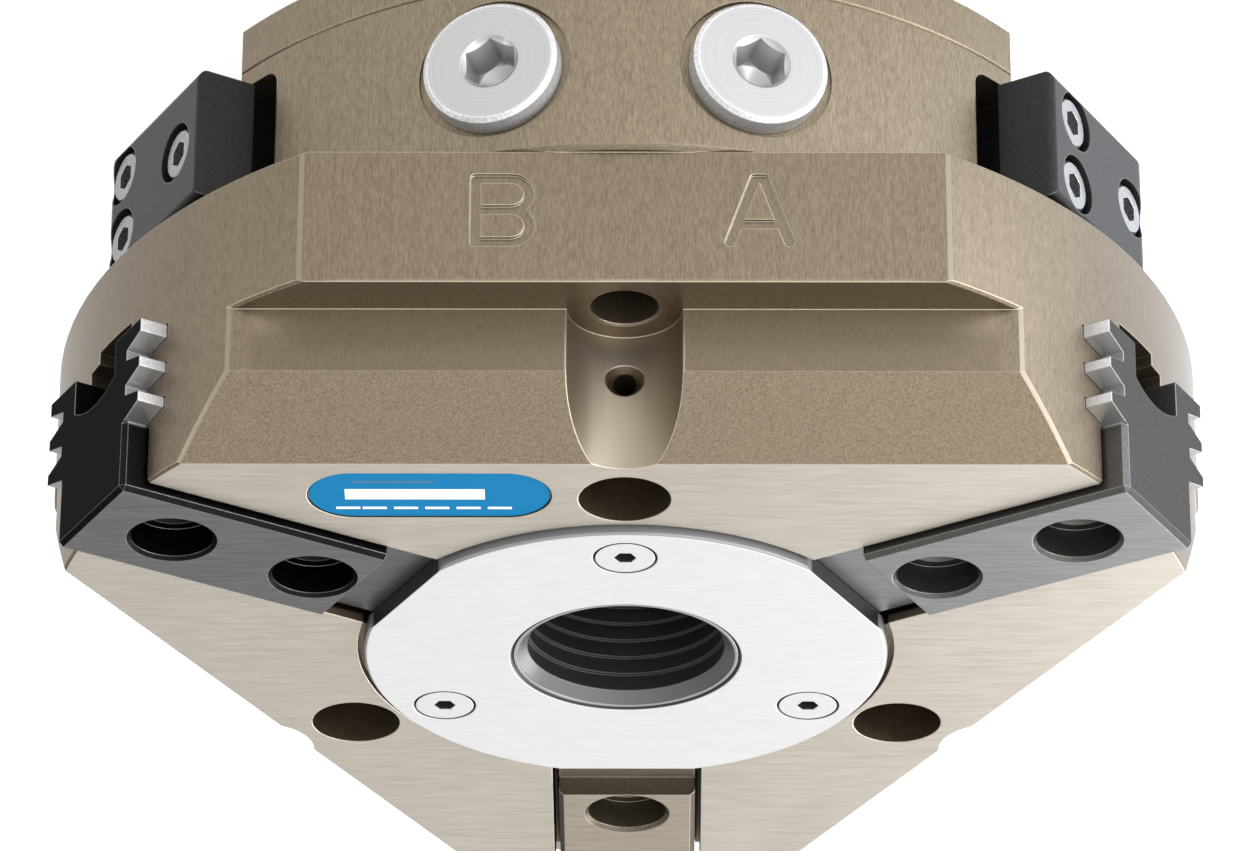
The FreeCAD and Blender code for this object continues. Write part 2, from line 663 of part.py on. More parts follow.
save("wedge_hook", [wedge_hook()])
save("piston", [piston()])
save("piston_nut", [ring_nut()])
save("piston_seal", [outer_seal(PISTON_GROOVE, BORE_R)])
save("guide_ring", [outer_seal(GUIDE_GROOVE, BORE_R)])
save("neck_seal", [inner_seal(NECK_GROOVE, SLEEVE_R)])
save("rod_seal", [inner_seal(ROD_GROOVE, NECK_R)])
save("sleeve_seal", [Part.makeTorus(13.3, 0.7, V(0, 0, 4.05))])
save("cover_seal", [Part.makeTorus(33.3, 0.42, V(0, 0, 7.45))])
save("channel_plugs", [channel_plug(angle) for angle in PORT_ANGLES])

for side, angle in zip("ab", PORT_ANGLES):
    save("port_plug_" + side, [port_plug(angle)])
    save("plug_seal_" + side, [plug_seal(angle)])

for angle in BRACKET_ANGLES:
    save("sensor_bracket_%03d" % angle, [bracket(angle)])
    screws = [bracket_screw(angle, y, z) for y, z in bracket_holes()]
    save("bracket_screws_%03d" % angle, screws)

name_long, name_wide = NAME_LONG - 2 * NAME_GAP, NAME_WIDE - 2 * NAME_GAP
save("nameplate", [stadium(name_long, name_wide, HEAD_Z1 - NAME_DEEP, HEAD_Z1 - NAME_SUNK)])
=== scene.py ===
import json
import math

import bmesh
import bpy
from mathutils import Matrix, Vector


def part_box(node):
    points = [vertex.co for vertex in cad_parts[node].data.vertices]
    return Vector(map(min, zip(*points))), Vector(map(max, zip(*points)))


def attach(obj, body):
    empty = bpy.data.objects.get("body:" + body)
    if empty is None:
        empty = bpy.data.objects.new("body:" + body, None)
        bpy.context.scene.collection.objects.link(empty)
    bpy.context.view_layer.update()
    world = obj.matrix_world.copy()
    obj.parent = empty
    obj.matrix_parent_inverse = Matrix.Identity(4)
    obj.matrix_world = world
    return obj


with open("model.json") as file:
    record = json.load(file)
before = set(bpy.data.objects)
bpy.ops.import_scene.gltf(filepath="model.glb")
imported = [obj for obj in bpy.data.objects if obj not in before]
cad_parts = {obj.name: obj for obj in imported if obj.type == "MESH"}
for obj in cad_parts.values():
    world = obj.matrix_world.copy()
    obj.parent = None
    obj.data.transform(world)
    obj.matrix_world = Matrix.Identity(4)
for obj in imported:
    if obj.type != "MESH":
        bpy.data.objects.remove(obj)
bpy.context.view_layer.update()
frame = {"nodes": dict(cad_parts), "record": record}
nodes = frame["nodes"]
MM = 0.001


def span(low, high):
    """Both ends of a soft step, given in millimetres."""
    return low * MM, high * MM


# Camera: in front of the port side and above the jaw face, rolled by half a turn
ELEVATION = 29.05
YAW = -0.35
ROLL = 0.23
DISTANCE = 0.7326
TARGET = Vector((0.00055, 0.0, 0.02962))
LENS = 200.2
SENSOR_WIDTH = 36.0
CLIP = (0.05, 20.0)

# The part's own directions, in degrees around the axis from +X
JAW_ANGLES = (90, 210, 330)
PORT_ANGLES = {"a": 255, "b": 285}
BRACKET_ANGLES = (210, 330)

# Axes of the three mounting holes, whose scallops cut into the front wall
MOUNT_ANGLES = (30, 150, 270)
MOUNT_AT = 45.3 * MM

# Heights where one finish gives way to the next
FLANGE_TOP = span(26.0, 26.4)
INSET_FOOT = span(41.0, 41.6)
WALL_FOOT = span(41.5, 45.5)
LEDGE_TOP = span(41.8, 42.0)
TEETH_TOP = span(49.8, 50.2)
PAD_TOP = span(55.0, 55.2)
SLEEVE_MOUTH = span(55.82, 55.90)
HEAD_FACE = span(56.3, 56.45)
SLEEVE_RIM = span(57.0, 57.05)
SCREW_FACE = span(57.12, 57.2)
PLATE_FACE = span(57.22, 57.28)

# Distances from an axis or a middle plane where one finish gives way to the next
PLUG_SOCKET = span(2.6, 2.9)
SCALLOP_EDGE = span(5.85, 6.1)
PLUG_SIDE = span(6.35, 6.5)
TEETH_ROOT = span(7.25, 7.45)
PLATE_ARC = span(26.9, 27.0)
LEDGE_DEPTH = span(46.5, 51.5)
INSET_EDGE = span(58.0, 59.0)
HEAD_SIDE = span(58.4, 58.6)

# How far a face looks up (z of its normal), or along a direction
UPRIGHT = (0.05, 0.25)
SLOPING = (0.35, 0.45)
ENDWAYS = (0.4, 0.7)
CHAMFER_FROM = (0.875, 0.895)
CHAMFER_TO = (0.980, 0.990)
NEARLY_LEVEL = (0.9, 0.97)
LEVEL = (0.93, 0.98)

# Anodised body: dark and light ends of the grain. The tones of the walls, ledges,
# scallops, broken edges and flange follow the photograph, its light included. Painted
# light: the lighter wall feet and flange. Painted sheen: the lighter scallops, and part
# of the cream jaw face, whose ground finish gives the rest. Painted highlight: the
# lighter broken edges and the edge colour. Painted shade: the outer ledges.
SIDE = ((0.124, 0.094, 0.059), (0.220, 0.178, 0.122))
WALL = ((0.122, 0.093, 0.060), (0.172, 0.137, 0.092))
WALL_FOOT_PAINTED_LIGHT = ((0.30, 0.243, 0.168), (0.41, 0.34, 0.245))
SCALLOP_PAINTED_SHEEN = ((0.27, 0.225, 0.165), (0.37, 0.315, 0.24))
FLANGE_PAINTED_LIGHT = ((0.143, 0.110, 0.070), (0.270, 0.224, 0.157))
FACE_AND_PAINTED_SHEEN = ((0.53, 0.482, 0.412), (0.60, 0.550, 0.478))
LEDGE_PAINTED_SHADE = (0.17, 0.136, 0.093)
CLOUD = (0.17, 0.133, 0.088)
CHAMFER_HIGHLIGHT = (0.25, 0.21, 0.155)
EDGE_HIGHLIGHT = (0.70, 0.64, 0.54)

# The jaws are the same part. Their tones differ because each copies the photograph,
# its light included: the jaw at 90° is painted lighter and brown and the jaw at 330°
# near black, as painted light and shade. Per jaw: dark and light of the body, dark and
# light of the pad.
JAW_TONES_WITH_PAINTED_LIGHT = {
    90: ((0.11, 0.092, 0.066), (0.15, 0.128, 0.095), (0.42, 0.37, 0.30), (0.50, 0.45, 0.37)),
    210: ((0.084, 0.080, 0.075), (0.110, 0.105, 0.098), (0.28, 0.28, 0.285), (0.34, 0.34, 0.345)),
    330: ((0.007,) * 3, (0.012,) * 3, (0.17, 0.17, 0.173), (0.22, 0.22, 0.223)),
}
TEETH = ((0.50, 0.50, 0.51), (0.78, 0.78, 0.79))

# Nameplate bars, as middle x, middle y, half length and half width in parts of the
# plate's own half length and half width
WHITE_BAR = (0.12, -0.02, 0.58, 0.24)
WHITE_DASHES = (-0.58, -0.32, -0.06, 0.20, 0.46, 0.68)
DASH_Y, DASH_LONG, DASH_WIDE = 0.62, 0.10, 0.055
GREY_BAR = (0.30, -0.60, 0.34, 0.05)

# Thread ridges: shape in metres, then start, end gap and half width in pitches
THREAD_DEPTH = 0.3 * MM
THREAD_PITCH = 1.0 * MM
THREAD_SUNK = 0.02 * MM
THREAD_START = 0.25
THREAD_GAP = 0.5
THREAD_HALF = 0.42
STEPS_PER_TURN = 28
FADE_STEPS = 8

# Light tent: radiance straight ahead, gain towards the front, fall towards +X
TENT = 1.20
FRONT_GAIN = 0.40
SIDE_FALL = 0.52
WARM_WHITE = (1.0, 0.995, 0.985)

# Softboxes: place, width and height, radiance, tint. All face the same point.
LIT_POINT = (0, 0, 0.04)
SOFTBOXES = {
    "front_right": ((-0.22, -0.40, 0.30), (0.20, 0.20), 2.6, (1.0, 1.03, 1.10)),
    "right_side": ((-0.50, -0.18, 0.13), (0.34, 0.26), 6.0, (1, 1, 1)),
    "left_side": ((0.50, -0.20, 0.13), (0.30, 0.24), 2.4, (1, 1, 1)),
    "back_right": ((-0.29, 0.40, 0.26), (0.34, 0.26), 4.4, (1.0, 1.02, 1.06)),
}

# The floor lies a hair below the mounting face. The upright faces mirror its glow,
# so that changes from zone to zone. Seen from behind, a zone at 0.40 showed as a
# grey patch and one at 0.54 does not. The middle's 0.42 lies outside its own zone.
FLOOR_Z = -0.2 * MM
FLOOR_HALF = 4.0
GLOW_MIDDLE = (1.50, 0.42)
GLOW_NEGATIVE_X = (2.9, 1.0)
GLOW_POSITIVE_X = (0.85, 0.54)
MIDDLE_FADE = (-0.15, 0.20)
MIDDLE_EDGE = (0.080, 0.100)
FRONT_TO_BACK = (-0.070, -0.020)
SIDE_TO_SIDE = (-0.05, 0.05)
COOL_FADE = (-0.10, 0.0)
COOL_WHITE = (0.98, 1.04, 1.17)


def heading(degrees, length=1.0):
    """Level vector of the given length, at an angle around the axis."""
    a = math.radians(degrees)
    return (length * math.cos(a), length * math.sin(a), 0)


def turn_z(degrees):
    return (0, 0, math.radians(degrees))


# ---------------------------------------------------------------- material nodes
class Nodes:
    """Short names for building a node tree."""

    def __init__(self, tree):
        self.tree = tree

    def add(self, kind, **settings):
        node = self.tree.nodes.new(kind)
        for key, value in settings.items():
            setattr(node, key, value)
        return node

    def join(self, source, target):
        self.tree.links.new(source, target)

    def feed(self, socket, value):
        """Link a node output to the socket, or set it to a constant."""
        if hasattr(value, "links"):
            self.join(value, socket)
        else:
            socket.default_value = value

    def math(self, operation, a, b=0.0):
        node = self.add("ShaderNodeMath", operation=operation)
        self.feed(node.inputs[0], a)
        self.feed(node.inputs[1], b)
        return node.outputs[0]

    def both(self, a, b):
        """Mask where two masks overlap, or one mask at a lower strength."""
        return self.math("MULTIPLY", a, b)

    def vector(self, operation, a, b=None):
        """Vector arithmetic, giving a number where the operation gives one."""
        node = self.add("ShaderNodeVectorMath", operation=operation)
        self.feed(node.inputs[0], a)
        if b is not None:
            self.feed(node.inputs[1], b)
        number = operation in ("DOT_PRODUCT", "LENGTH")
        return node.outputs["Value" if number else "Vector"]

    def step(self, value, low, high, before=0.0, after=1.0):
        """One number below low, another above high, smooth in between."""
        node = self.add("ShaderNodeMapRange", interpolation_type="SMOOTHSTEP")
        self.feed(node.inputs["Value"], value)
        node.inputs["From Min"].default_value = low
        node.inputs["From Max"].default_value = high
        node.inputs["To Min"].default_value = before
        node.inputs["To Max"].default_value = after
        return node.outputs[0]

    def fall(self, value, low, high):
        """One below low, zero above high."""
        return self.step(value, low, high, 1.0, 0.0)

    def axes(self, vector):
        node = self.add("ShaderNodeSeparateXYZ")
        self.join(vector, node.inputs[0])
        return node.outputs

    def blend(self, amount, a, b):
        """Number a where amount is 0, b where it is 1."""
        node = self.add("ShaderNodeMix", data_type="FLOAT")
        self.feed(node.inputs[0], amount)
        self.feed(node.inputs[2], a)
        self.feed(node.inputs[3], b)
        return node.outputs[0]

    def colour(self, amount, a, b):
        """Colour a where amount is 0, b where it is 1."""
        node = self.add("ShaderNodeMix", data_type="RGBA")
        self.feed(node.inputs[0], amount)
        self.feed(node.inputs[6], a if hasattr(a, "links") else (*a, 1.0))
        self.feed(node.inputs[7], b if hasattr(b, "links") else (*b, 1.0))
        return node.outputs[2]


class Paint(Nodes):
    """One node material, built step by step."""

    def __init__(self, name):
        self.material = bpy.data.materials.new(name)
        self.material.use_nodes = True
        super().__init__(self.material.node_tree)
        self.tree.nodes.clear()
        self.shader = self.add("ShaderNodeBsdfPrincipled")
        self.output = self.add("ShaderNodeOutputMaterial")
        self.join(self.shader.outputs[0], self.output.inputs["Surface"])
        self.place = self.add("ShaderNodeTexCoord").outputs["Object"]
        self.facing = self.add("ShaderNodeNewGeometry").outputs["Normal"]

    def moved(self, origin=(0, 0, 0), turn=(0, 0, 0), scale=(1, 1, 1)):
        """Object position taken about an origin, turned and scaled."""
        offset = self.vector("SUBTRACT", self.place, origin)
        node = self.add("ShaderNodeMapping", vector_type="POINT")
        self.join(offset, node.inputs["Vector"])
        node.inputs["Rotation"].default_value = turn
        node.inputs["Scale"].default_value = scale
        return node.outputs[0]

    def reach(self, across=(0, 0, 0), along=(0, 0, 1)):
        """Distance from the axis through the point across."""
        offset = self.vector("SUBTRACT", self.place, across)
        return self.vector("LENGTH", self.vector("CROSS_PRODUCT", offset, along))

    def noise(self, vector, size, detail=2.0, rough=0.5):
        """Noise from 0 to 1 with grains of about the given size in metres."""
        node = self.add("ShaderNodeTexNoise")
        self.join(vector, node.inputs["Vector"])
        node.inputs["Scale"].default_value = 1.0 / size
        node.inputs["Detail"].default_value = detail
        node.inputs["Roughness"].default_value = rough
        return node.outputs["Fac"]

    def grain(self, size, detail=2.0, rough=0.6):
        """Even grain of strong contrast, the same in every direction."""
        return self.step(self.noise(self.place, size, detail, rough), 0.3, 0.7)

    def edges(self, radius, low=0.004):
        """(mask of the edges, normal rounded over them)."""
        round_node = self.add("ShaderNodeBevel", samples=8)
        round_node.inputs["Radius"].default_value = radius
        rounded = round_node.outputs[0]
        lean = self.vector("DOT_PRODUCT", rounded, self.facing)
        return self.step(self.math("SUBTRACT", 1.0, lean), low, 0.06), rounded

    def bump(self, height, depth, normal=None):
        node = self.add("ShaderNodeBump")
        node.inputs["Strength"].default_value = 1.0
        node.inputs["Distance"].default_value = depth
        self.join(height, node.inputs["Height"])
        if normal is not None:
            self.join(normal, node.inputs["Normal"])
        self.join(node.outputs[0], self.shader.inputs["Normal"])

    def set(self, **values):
        for key, value in values.items():
            self.feed(self.shader.inputs[key.replace("_", " ")], value)


# ---------------------------------------------------------------- metals
def rim_chamfer(p, tilt, radius):
    """Mask of the upright broken edges between the head's round side and its flats."""
    outwards = p.vector("NORMALIZE", p.vector("MULTIPLY", p.place, (1, 1, 0)))
    lean = p.vector("DOT_PRODUCT", outwards, p.facing)
    between = p.both(p.step(lean, *CHAMFER_FROM), p.fall(lean, *CHAMFER_TO))
    steep = p.fall(p.math("ABSOLUTE", tilt), *SLOPING)
    outside = p.step(radius, *HEAD_SIDE)
    return p.both(between, p.both(steep, outside))


def ledge_shade(p, tilt, height):
    """Mask rising over each ledge from the foot of its wall to its outer edge."""
    depth = 0.0
    for angle in MOUNT_ANGLES:
        outwards = p.vector("DOT_PRODUCT", p.place, heading(angle))
        depth = p.math("MAXIMUM", depth, outwards)
    level = p.both(p.step(tilt, *NEARLY_LEVEL), p.fall(height, *LEDGE_TOP))
    return p.both(level, p.step(depth, *LEDGE_DEPTH, 0.0, 0.8))


def scallop_mask(p, wall):
    """Mask of the scallops that the mounting holes cut into the front walls."""
    scallop = 0.0
    for angle in MOUNT_ANGLES:
        reach = p.reach(heading(angle, MOUNT_AT))
        scallop = p.math("MAXIMUM", scallop, p.fall(reach, *SCALLOP_EDGE))
    return p.both(scallop, wall)


def anodised():
    """Champagne hard-anodised aluminium: brushed sides, blasted slopes, ground jaw face. Its colour
    carries painted light, sheen, highlights and shade by place.
    """
    p = Paint("anodised_champagne")
    tilt = p.axes(p.facing)[2]
    height = p.axes(p.place)[2]
    radius = p.reach()
    top = p.both(p.step(tilt, *LEVEL), p.step(height, *HEAD_FACE))
    upright = p.fall(p.math("ABSOLUTE", tilt), *UPRIGHT)
    inset = p.both(p.fall(radius, *INSET_EDGE), p.step(height, *INSET_FOOT))
    wall = p.both(inset, upright)
    scallop = scallop_mask(p, wall)
    flange = p.fall(height, *FLANGE_TOP)

    streak = p.noise(p.moved(scale=(1, 1, 0.16)), 0.16 * MM, 3.0, 0.6)
    long_streak = p.noise(p.moved(scale=(1, 1, 0.03)), 0.4 * MM, 2.0, 0.5)
    grain = p.noise(p.place, 0.2 * MM, 2.0, 0.6)
    lay = p.noise(p.moved(turn=turn_z(12), scale=(0.08, 1, 1)), 0.35 * MM, 2.0, 0.5)
    cloud = p.noise(p.place, 14 * MM, 1.0, 0.5)
    brushed = p.blend(0.15, streak, long_streak)
    pattern = p.blend(top, p.blend(upright, grain, brushed), lay)
    pattern = p.step(pattern, 0.25, 0.75)
    pattern = p.blend(wall, pattern, p.step(streak, 0.15, 0.85))
    pattern = p.blend(scallop, pattern, p.blend(0.6, grain, 0.5))

    tone = p.colour(pattern, *SIDE)
    tone = p.colour(wall, tone, p.colour(pattern, *WALL))
    # Painted light: the walls lighter towards their foot, where the ledge's shade falls.
    painted_light_wall_foot = p.both(wall, p.step(height, *WALL_FOOT, 0.7, 0.0))
    tone = p.colour(painted_light_wall_foot, tone, p.colour(pattern, *WALL_FOOT_PAINTED_LIGHT))
    # Painted sheen: the scallops painted lighter.
    tone = p.colour(scallop, tone, p.colour(pattern, *SCALLOP_PAINTED_SHEEN))
    # Painted shade over the outer part of each ledge.
    tone = p.colour(ledge_shade(p, tilt, height), tone, LEDGE_PAINTED_SHADE)
    # Painted light: the flange painted brighter.
    tone = p.colour(flange, tone, p.colour(pattern, *FLANGE_PAINTED_LIGHT))
    # Jaw face: cream of its ground finish, lighter still as a painted sheen on the level top.
    tone = p.colour(top, tone, p.colour(pattern, *FACE_AND_PAINTED_SHEEN))
    tone = p.colour(p.both(cloud, 0.12), tone, CLOUD)
    broken = rim_chamfer(p, tilt, radius)
    # Painted highlight: the upright broken edges painted lighter.
    tone = p.colour(broken, tone, CHAMFER_HIGHLIGHT)
    mask, rounded = p.edges(0.2 * MM, 0.014)
    # Painted highlight: edges painted a light cream, weaker on the flange.
    tone = p.colour(p.both(mask, p.blend(flange, 0.45, 0.12)), tone, EDGE_HIGHLIGHT)

    rough = p.blend(broken, p.blend(pattern, 0.36, 0.44), 0.32)
    p.set(Base_Color=tone, Metallic=0.95, Roughness=rough, IOR=1.5)
    p.set(Coat_Weight=0.25, Coat_Roughness=0.4)
    p.bump(pattern, 0.006 * MM, rounded)
    return p.material


def brushed_plate():
    """Finely brushed stainless plate, with grey turned edges below its face on its round side, and
    painted shade, near black, below its face closer to the axis.
    """
    p = Paint("brushed_stainless")
    height = p.axes(p.place)[2]
    face = p.step(height, *PLATE_FACE)
    arc = p.step(p.reach(), *PLATE_ARC)
    lay = p.noise(p.moved(turn=turn_z(-8), scale=(0.06, 1, 1)), 0.18 * MM, 3.0, 0.6)
    pattern = p.step(lay, 0.2, 0.8)
    tone = p.colour(pattern, (0.62, 0.62, 0.625), (0.69, 0.69, 0.69))
    # Below the face: grey on the round side, near black closer to the axis as painted shade.
    rim = p.colour(arc, (0.03, 0.03, 0.031), (0.26, 0.26, 0.265))
    tone = p.colour(face, rim, tone)
    mask, rounded = p.edges(0.12 * MM)
    # Painted highlight: edges painted mid grey, lighter than the sides, a little darker than the
    # face.
    tone = p.colour(p.both(mask, 0.3), tone, (0.55, 0.55, 0.56))
    p.set(Base_Color=tone, Metallic=0.45, Roughness=p.blend(pattern, 0.34, 0.42))
    p.bump(pattern, 0.003 * MM, rounded)
    return p.material


def zinc(name, across, along):
    """Bright plated plug with turned marks around its axis and a grainier collar side."""
    p = Paint(name)
    reach = p.reach(across, along)
    spread = p.add("ShaderNodeCombineXYZ")
    p.join(reach, spread.inputs[0])
    rings = p.noise(spread.outputs[0], 0.2 * MM, 2.0, 0.5)
    grain = p.grain(0.2 * MM)
    side = p.step(reach, *PLUG_SIDE)
    pattern = p.blend(side, p.step(rings, 0.25, 0.75), grain)
    face = p.colour(pattern, (0.36, 0.36, 0.365), (0.43, 0.43, 0.43))
    rim = p.colour(pattern, (0.42, 0.42, 0.43), (0.66, 0.66, 0.67))
    tone = p.colour(side, face, rim)
    # Painted light: the socket is painted lighter than the face.
    tone = p.colour(p.step(reach, *PLUG_SOCKET), (0.50, 0.50, 0.51), tone)
    mask, rounded = p.edges(0.12 * MM)
    # Painted highlight: edges painted light grey.
    tone = p.colour(p.both(mask, 0.25), tone, (0.80, 0.80, 0.80))
    p.set(Base_Color=tone, Metallic=0.6, Roughness=p.blend(side, 0.30, 0.34))
    p.bump(pattern, 0.003 * MM, rounded)
    return p.material


def bright_steel(name, dark=(0.50, 0.50, 0.51), light=(0.68, 0.68, 0.69)):
    p = Paint(name)
    grain = p.grain(0.25 * MM)
    mask, rounded = p.edges(0.1 * MM)
    tone = p.colour(grain, dark, light)
    # Painted highlight: edges painted light grey.
    tone = p.colour(p.both(mask, 0.4), tone, (0.85, 0.85, 0.85))
    p.set(Base_Color=tone, Metallic=0.9, Roughness=p.blend(grain, 0.25, 0.36))
    p.bump(grain, 0.004 * MM, rounded)
    return p.material


def plate_screw_steel():
    """Countersunk heads: bright on top, with painted shade, near black, in the socket and under the
    head.
    """
    p = Paint("plate_screw_steel")
    height = p.axes(p.place)[2]
    head = p.step(height, *SCREW_FACE)
    grain = p.grain(0.2 * MM)
    tone = p.colour(grain, (0.62, 0.62, 0.625), (0.72, 0.72, 0.72))
    # Painted shade: near black below the head's face, in the socket and under the head.
    tone = p.colour(head, (0.05, 0.05, 0.052), tone)
    mask, rounded = p.edges(0.1 * MM)
    # Painted shade: edges painted a darker grey line on the bright head.
    tone = p.colour(p.both(mask, 0.3), tone, (0.30, 0.30, 0.31))
    p.set(Base_Color=tone, Metallic=0.5, Roughness=p.blend(grain, 0.30, 0.38))
    p.bump(grain, 0.002 * MM, rounded)
    return p.material


def jaw_steel(angle, body_dark, body_light, pad_dark, pad_light):
    """Dark nitrided jaw with a ground pad and bare ground teeth."""
    p = Paint("jaw_steel_%03d" % angle)
    local = p.axes(p.moved(turn=turn_z(-angle)))
    tilt = p.axes(p.facing)[2]
    pad = p.both(p.step(tilt, *NEARLY_LEVEL), p.step(local[2], *PAD_TOP))
    out = p.math("ABSOLUTE", local[1])
    lay = p.noise(p.moved(turn=turn_z(-angle), scale=(0.06, 1, 1)), 0.3 * MM, 2.0, 0.6)
    grain = p.noise(p.place, 0.3 * MM, 3.0, 0.6)
    pattern = p.step(p.blend(pad, grain, lay), 0.3, 0.7)
    ahead = p.vector("DOT_PRODUCT", p.facing, heading(angle))
    teeth = p.both(p.step(out, *TEETH_ROOT), p.fall(ahead, *ENDWAYS))
    teeth = p.both(teeth, p.fall(local[2], *TEETH_TOP))
    body = p.colour(pattern, body_dark, body_light)
    tone = p.colour(pad, body, p.colour(pattern, pad_dark, pad_light))
    tone = p.colour(teeth, tone, p.colour(grain, *TEETH))
    mask, rounded = p.edges(0.16 * MM)
    # Painted highlight: edges painted grey on the dark jaw.
    tone = p.colour(p.both(mask, 0.45), tone, (0.42, 0.42, 0.43))
    p.set(Base_Color=tone, Metallic=0.9, Roughness=p.blend(teeth, 0.36, 0.26))
    p.set(Specular_Tint=(0.4, 0.4, 0.4, 1.0))
    p.bump(pattern, 0.003 * MM, rounded)
    return p.material


def black_sleeve():
    """Black ribbed bore with a plain machined cone at its mouth."""
    p = Paint("sleeve_black")
    height = p.axes(p.place)[2]
    mouth = p.step(height, *SLEEVE_MOUTH)
    rim = p.step(height, *SLEEVE_RIM)
    pattern = p.noise(p.moved(scale=(1, 1, 6)), 0.8 * MM, 2.0, 0.5)
    tone = p.colour(pattern, (0.050, 0.050, 0.051), (0.066, 0.066, 0.067))
    tone = p.colour(mouth, tone, (0.125, 0.125, 0.128))
    tone = p.colour(rim, tone, (0.36, 0.36, 0.365))
    mask, rounded = p.edges(0.14 * MM)
    # Painted highlight: edges painted grey on the black sleeve.
    tone = p.colour(p.both(mask, 0.15), tone, (0.30, 0.30, 0.31))
    p.set(Base_Color=tone, Metallic=0.7, Roughness=p.blend(mouth, 0.42, 0.34))
    p.bump(pattern, 0.001 * MM, rounded)
    return p.material


def black_anodised():
    p = Paint("anodised_black")
    grain = p.grain(0.22 * MM, 3.0, 0.65)
    mask, rounded = p.edges(0.25 * MM)
    tone = p.colour(grain, (0.013, 0.0125, 0.012), (0.026, 0.025, 0.024))
    # Painted highlight: edges painted grey on the black bracket.
    tone = p.colour(p.both(mask, 0.3), tone, (0.24, 0.24, 0.24))
    p.set(Base_Color=tone, Metallic=0.6, Roughness=p.blend(grain, 0.32, 0.44))
    p.set(Specular_IOR_Level=0.3)
    p.bump(grain, 0.006 * MM, rounded)
    return p.material


# ---------------------------------------------------------------- seals and guide ring
def moulded(name, size, dark, light, roughness, depth):
    """Plain moulded material with a fine even grain."""
    p = Paint(name)
    grain = p.noise(p.place, size, 2.0, 0.5)
    p.set(Base_Color=p.colour(grain, dark, light), Roughness=roughness)
    p.bump(grain, depth)
    return p.material


def rubber():
    return moulded("seal_rubber", 0.4 * MM, (0.012,) * 3, (0.028,) * 3, 0.62, 0.01 * MM)


def guide_plastic():
    return moulded("guide_ring_plastic", 0.5 * MM, (0.30, 0.22, 0.10), (0.42, 0.31, 0.15),
                   0.5, 0.008 * MM)


# ---------------------------------------------------------------- nameplate
def label():
    """Blue printed plate with plain white bars in place of any lettering."""
    p = Paint("nameplate_print")
    low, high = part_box("nameplate")
    half = (high - low) / 2
    across = p.axes(p.moved(origin=(low + high) / 2))

    def bar(x, y, long, wide):
        dx = p.math("ABSOLUTE", p.math("SUBTRACT", across[0], x * half[0]))
        dy = p.math("ABSOLUTE", p.math("SUBTRACT", across[1], y * half[1]))
        inside_x = p.math("LESS_THAN", dx, long * half[0])
        inside_y = p.math("LESS_THAN", dy, wide * half[1])
        return p.both(inside_x, inside_y)

    white = bar(*WHITE_BAR)
    for x in WHITE_DASHES:
        white = p.math("MAXIMUM", white, bar(x, DASH_Y, DASH_LONG, DASH_WIDE))
    grey = bar(*GREY_BAR)
    grain = p.noise(p.place, 0.3 * MM, 2.0, 0.5)
    blue = p.colour(grain, (0.002, 0.145, 0.325), (0.005, 0.165, 0.36))
    tone = p.colour(grey, blue, (0.06, 0.15, 0.26))
    tone = p.colour(white, tone, (0.80, 0.82, 0.84))
    p.set(Base_Color=tone, Roughness=0.45, Specular_IOR_Level=0.05)
    p.bump(grain, 0.003 * MM)
    return p.material


# ---------------------------------------------------------------- thread ridges
def thread(name, body, centre, radius, bottom, top, material):
    """Helical ridge on the wall of a vertical hole, fading out at both ends."""
    turns = (top - bottom) / THREAD_PITCH - THREAD_GAP
    count = int(turns * STEPS_PER_TURN)
    mesh = bmesh.new()
    rows = []
    for i in range(count + 1):
        angle = 2 * math.pi * i / STEPS_PER_TURN
        fade = min(1.0, i / FADE_STEPS, (count - i) / FADE_STEPS)
        z = bottom + THREAD_PITCH * (THREAD_START + i / STEPS_PER_TURN)
        root = radius + THREAD_SUNK
        row = []
        for r, dz in ((root, -THREAD_HALF), (radius - THREAD_DEPTH * fade, 0.0), (root, THREAD_HALF)):
            x = centre[0] + r * math.cos(angle)
            y = centre[1] + r * math.sin(angle)
            row.append(mesh.verts.new((x, y, z + dz * THREAD_PITCH)))
        rows.append(row)
    for a, b in zip(rows, rows[1:]):
        for j in range(3):
            k = (j + 1) % 3
            mesh.faces.new((a[j], a[k], b[k], b[j]))
    mesh.faces.new(rows[0])
    mesh.faces.new(list(reversed(rows[-1])))
    bmesh.ops.recalc_face_normals(mesh, faces=mesh.faces)
    data = bpy.data.meshes.new(name)
    mesh.to_mesh(data)
    mesh.free()
    piece = bpy.data.objects.new(name, data)
    bpy.context.collection.objects.link(piece)
    data.materials.append(material)
    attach(piece, body)


def cut_threads():
    """Threads of the two finger screws in each jaw."""
    wall = bright_steel("thread_steel", (0.08, 0.08, 0.08), (0.14, 0.14, 0.14))
    mounts = {m["name"]: m for m in frame["record"]["mounts"]}
    for angle in JAW_ANGLES:
        body = "jaw_%03d" % angle
        for place in ("inner", "outer"):
            name = "%s_thread_%s" % (body, place)
            mount = mounts[name]
            radius = mount["dims"]["r_mm"] * MM
            half = mount["dims"]["length_mm"] * MM / 2
            x, y, middle = mount["pos_m"]
            thread(name, body, (x, y), radius, middle - half, middle + half, wall)


# ---------------------------------------------------------------- dressing the frame
def dress(material, *names):
    for name in names:
        slots = nodes[name].data.materials
        slots.clear()
        slots.append(material)


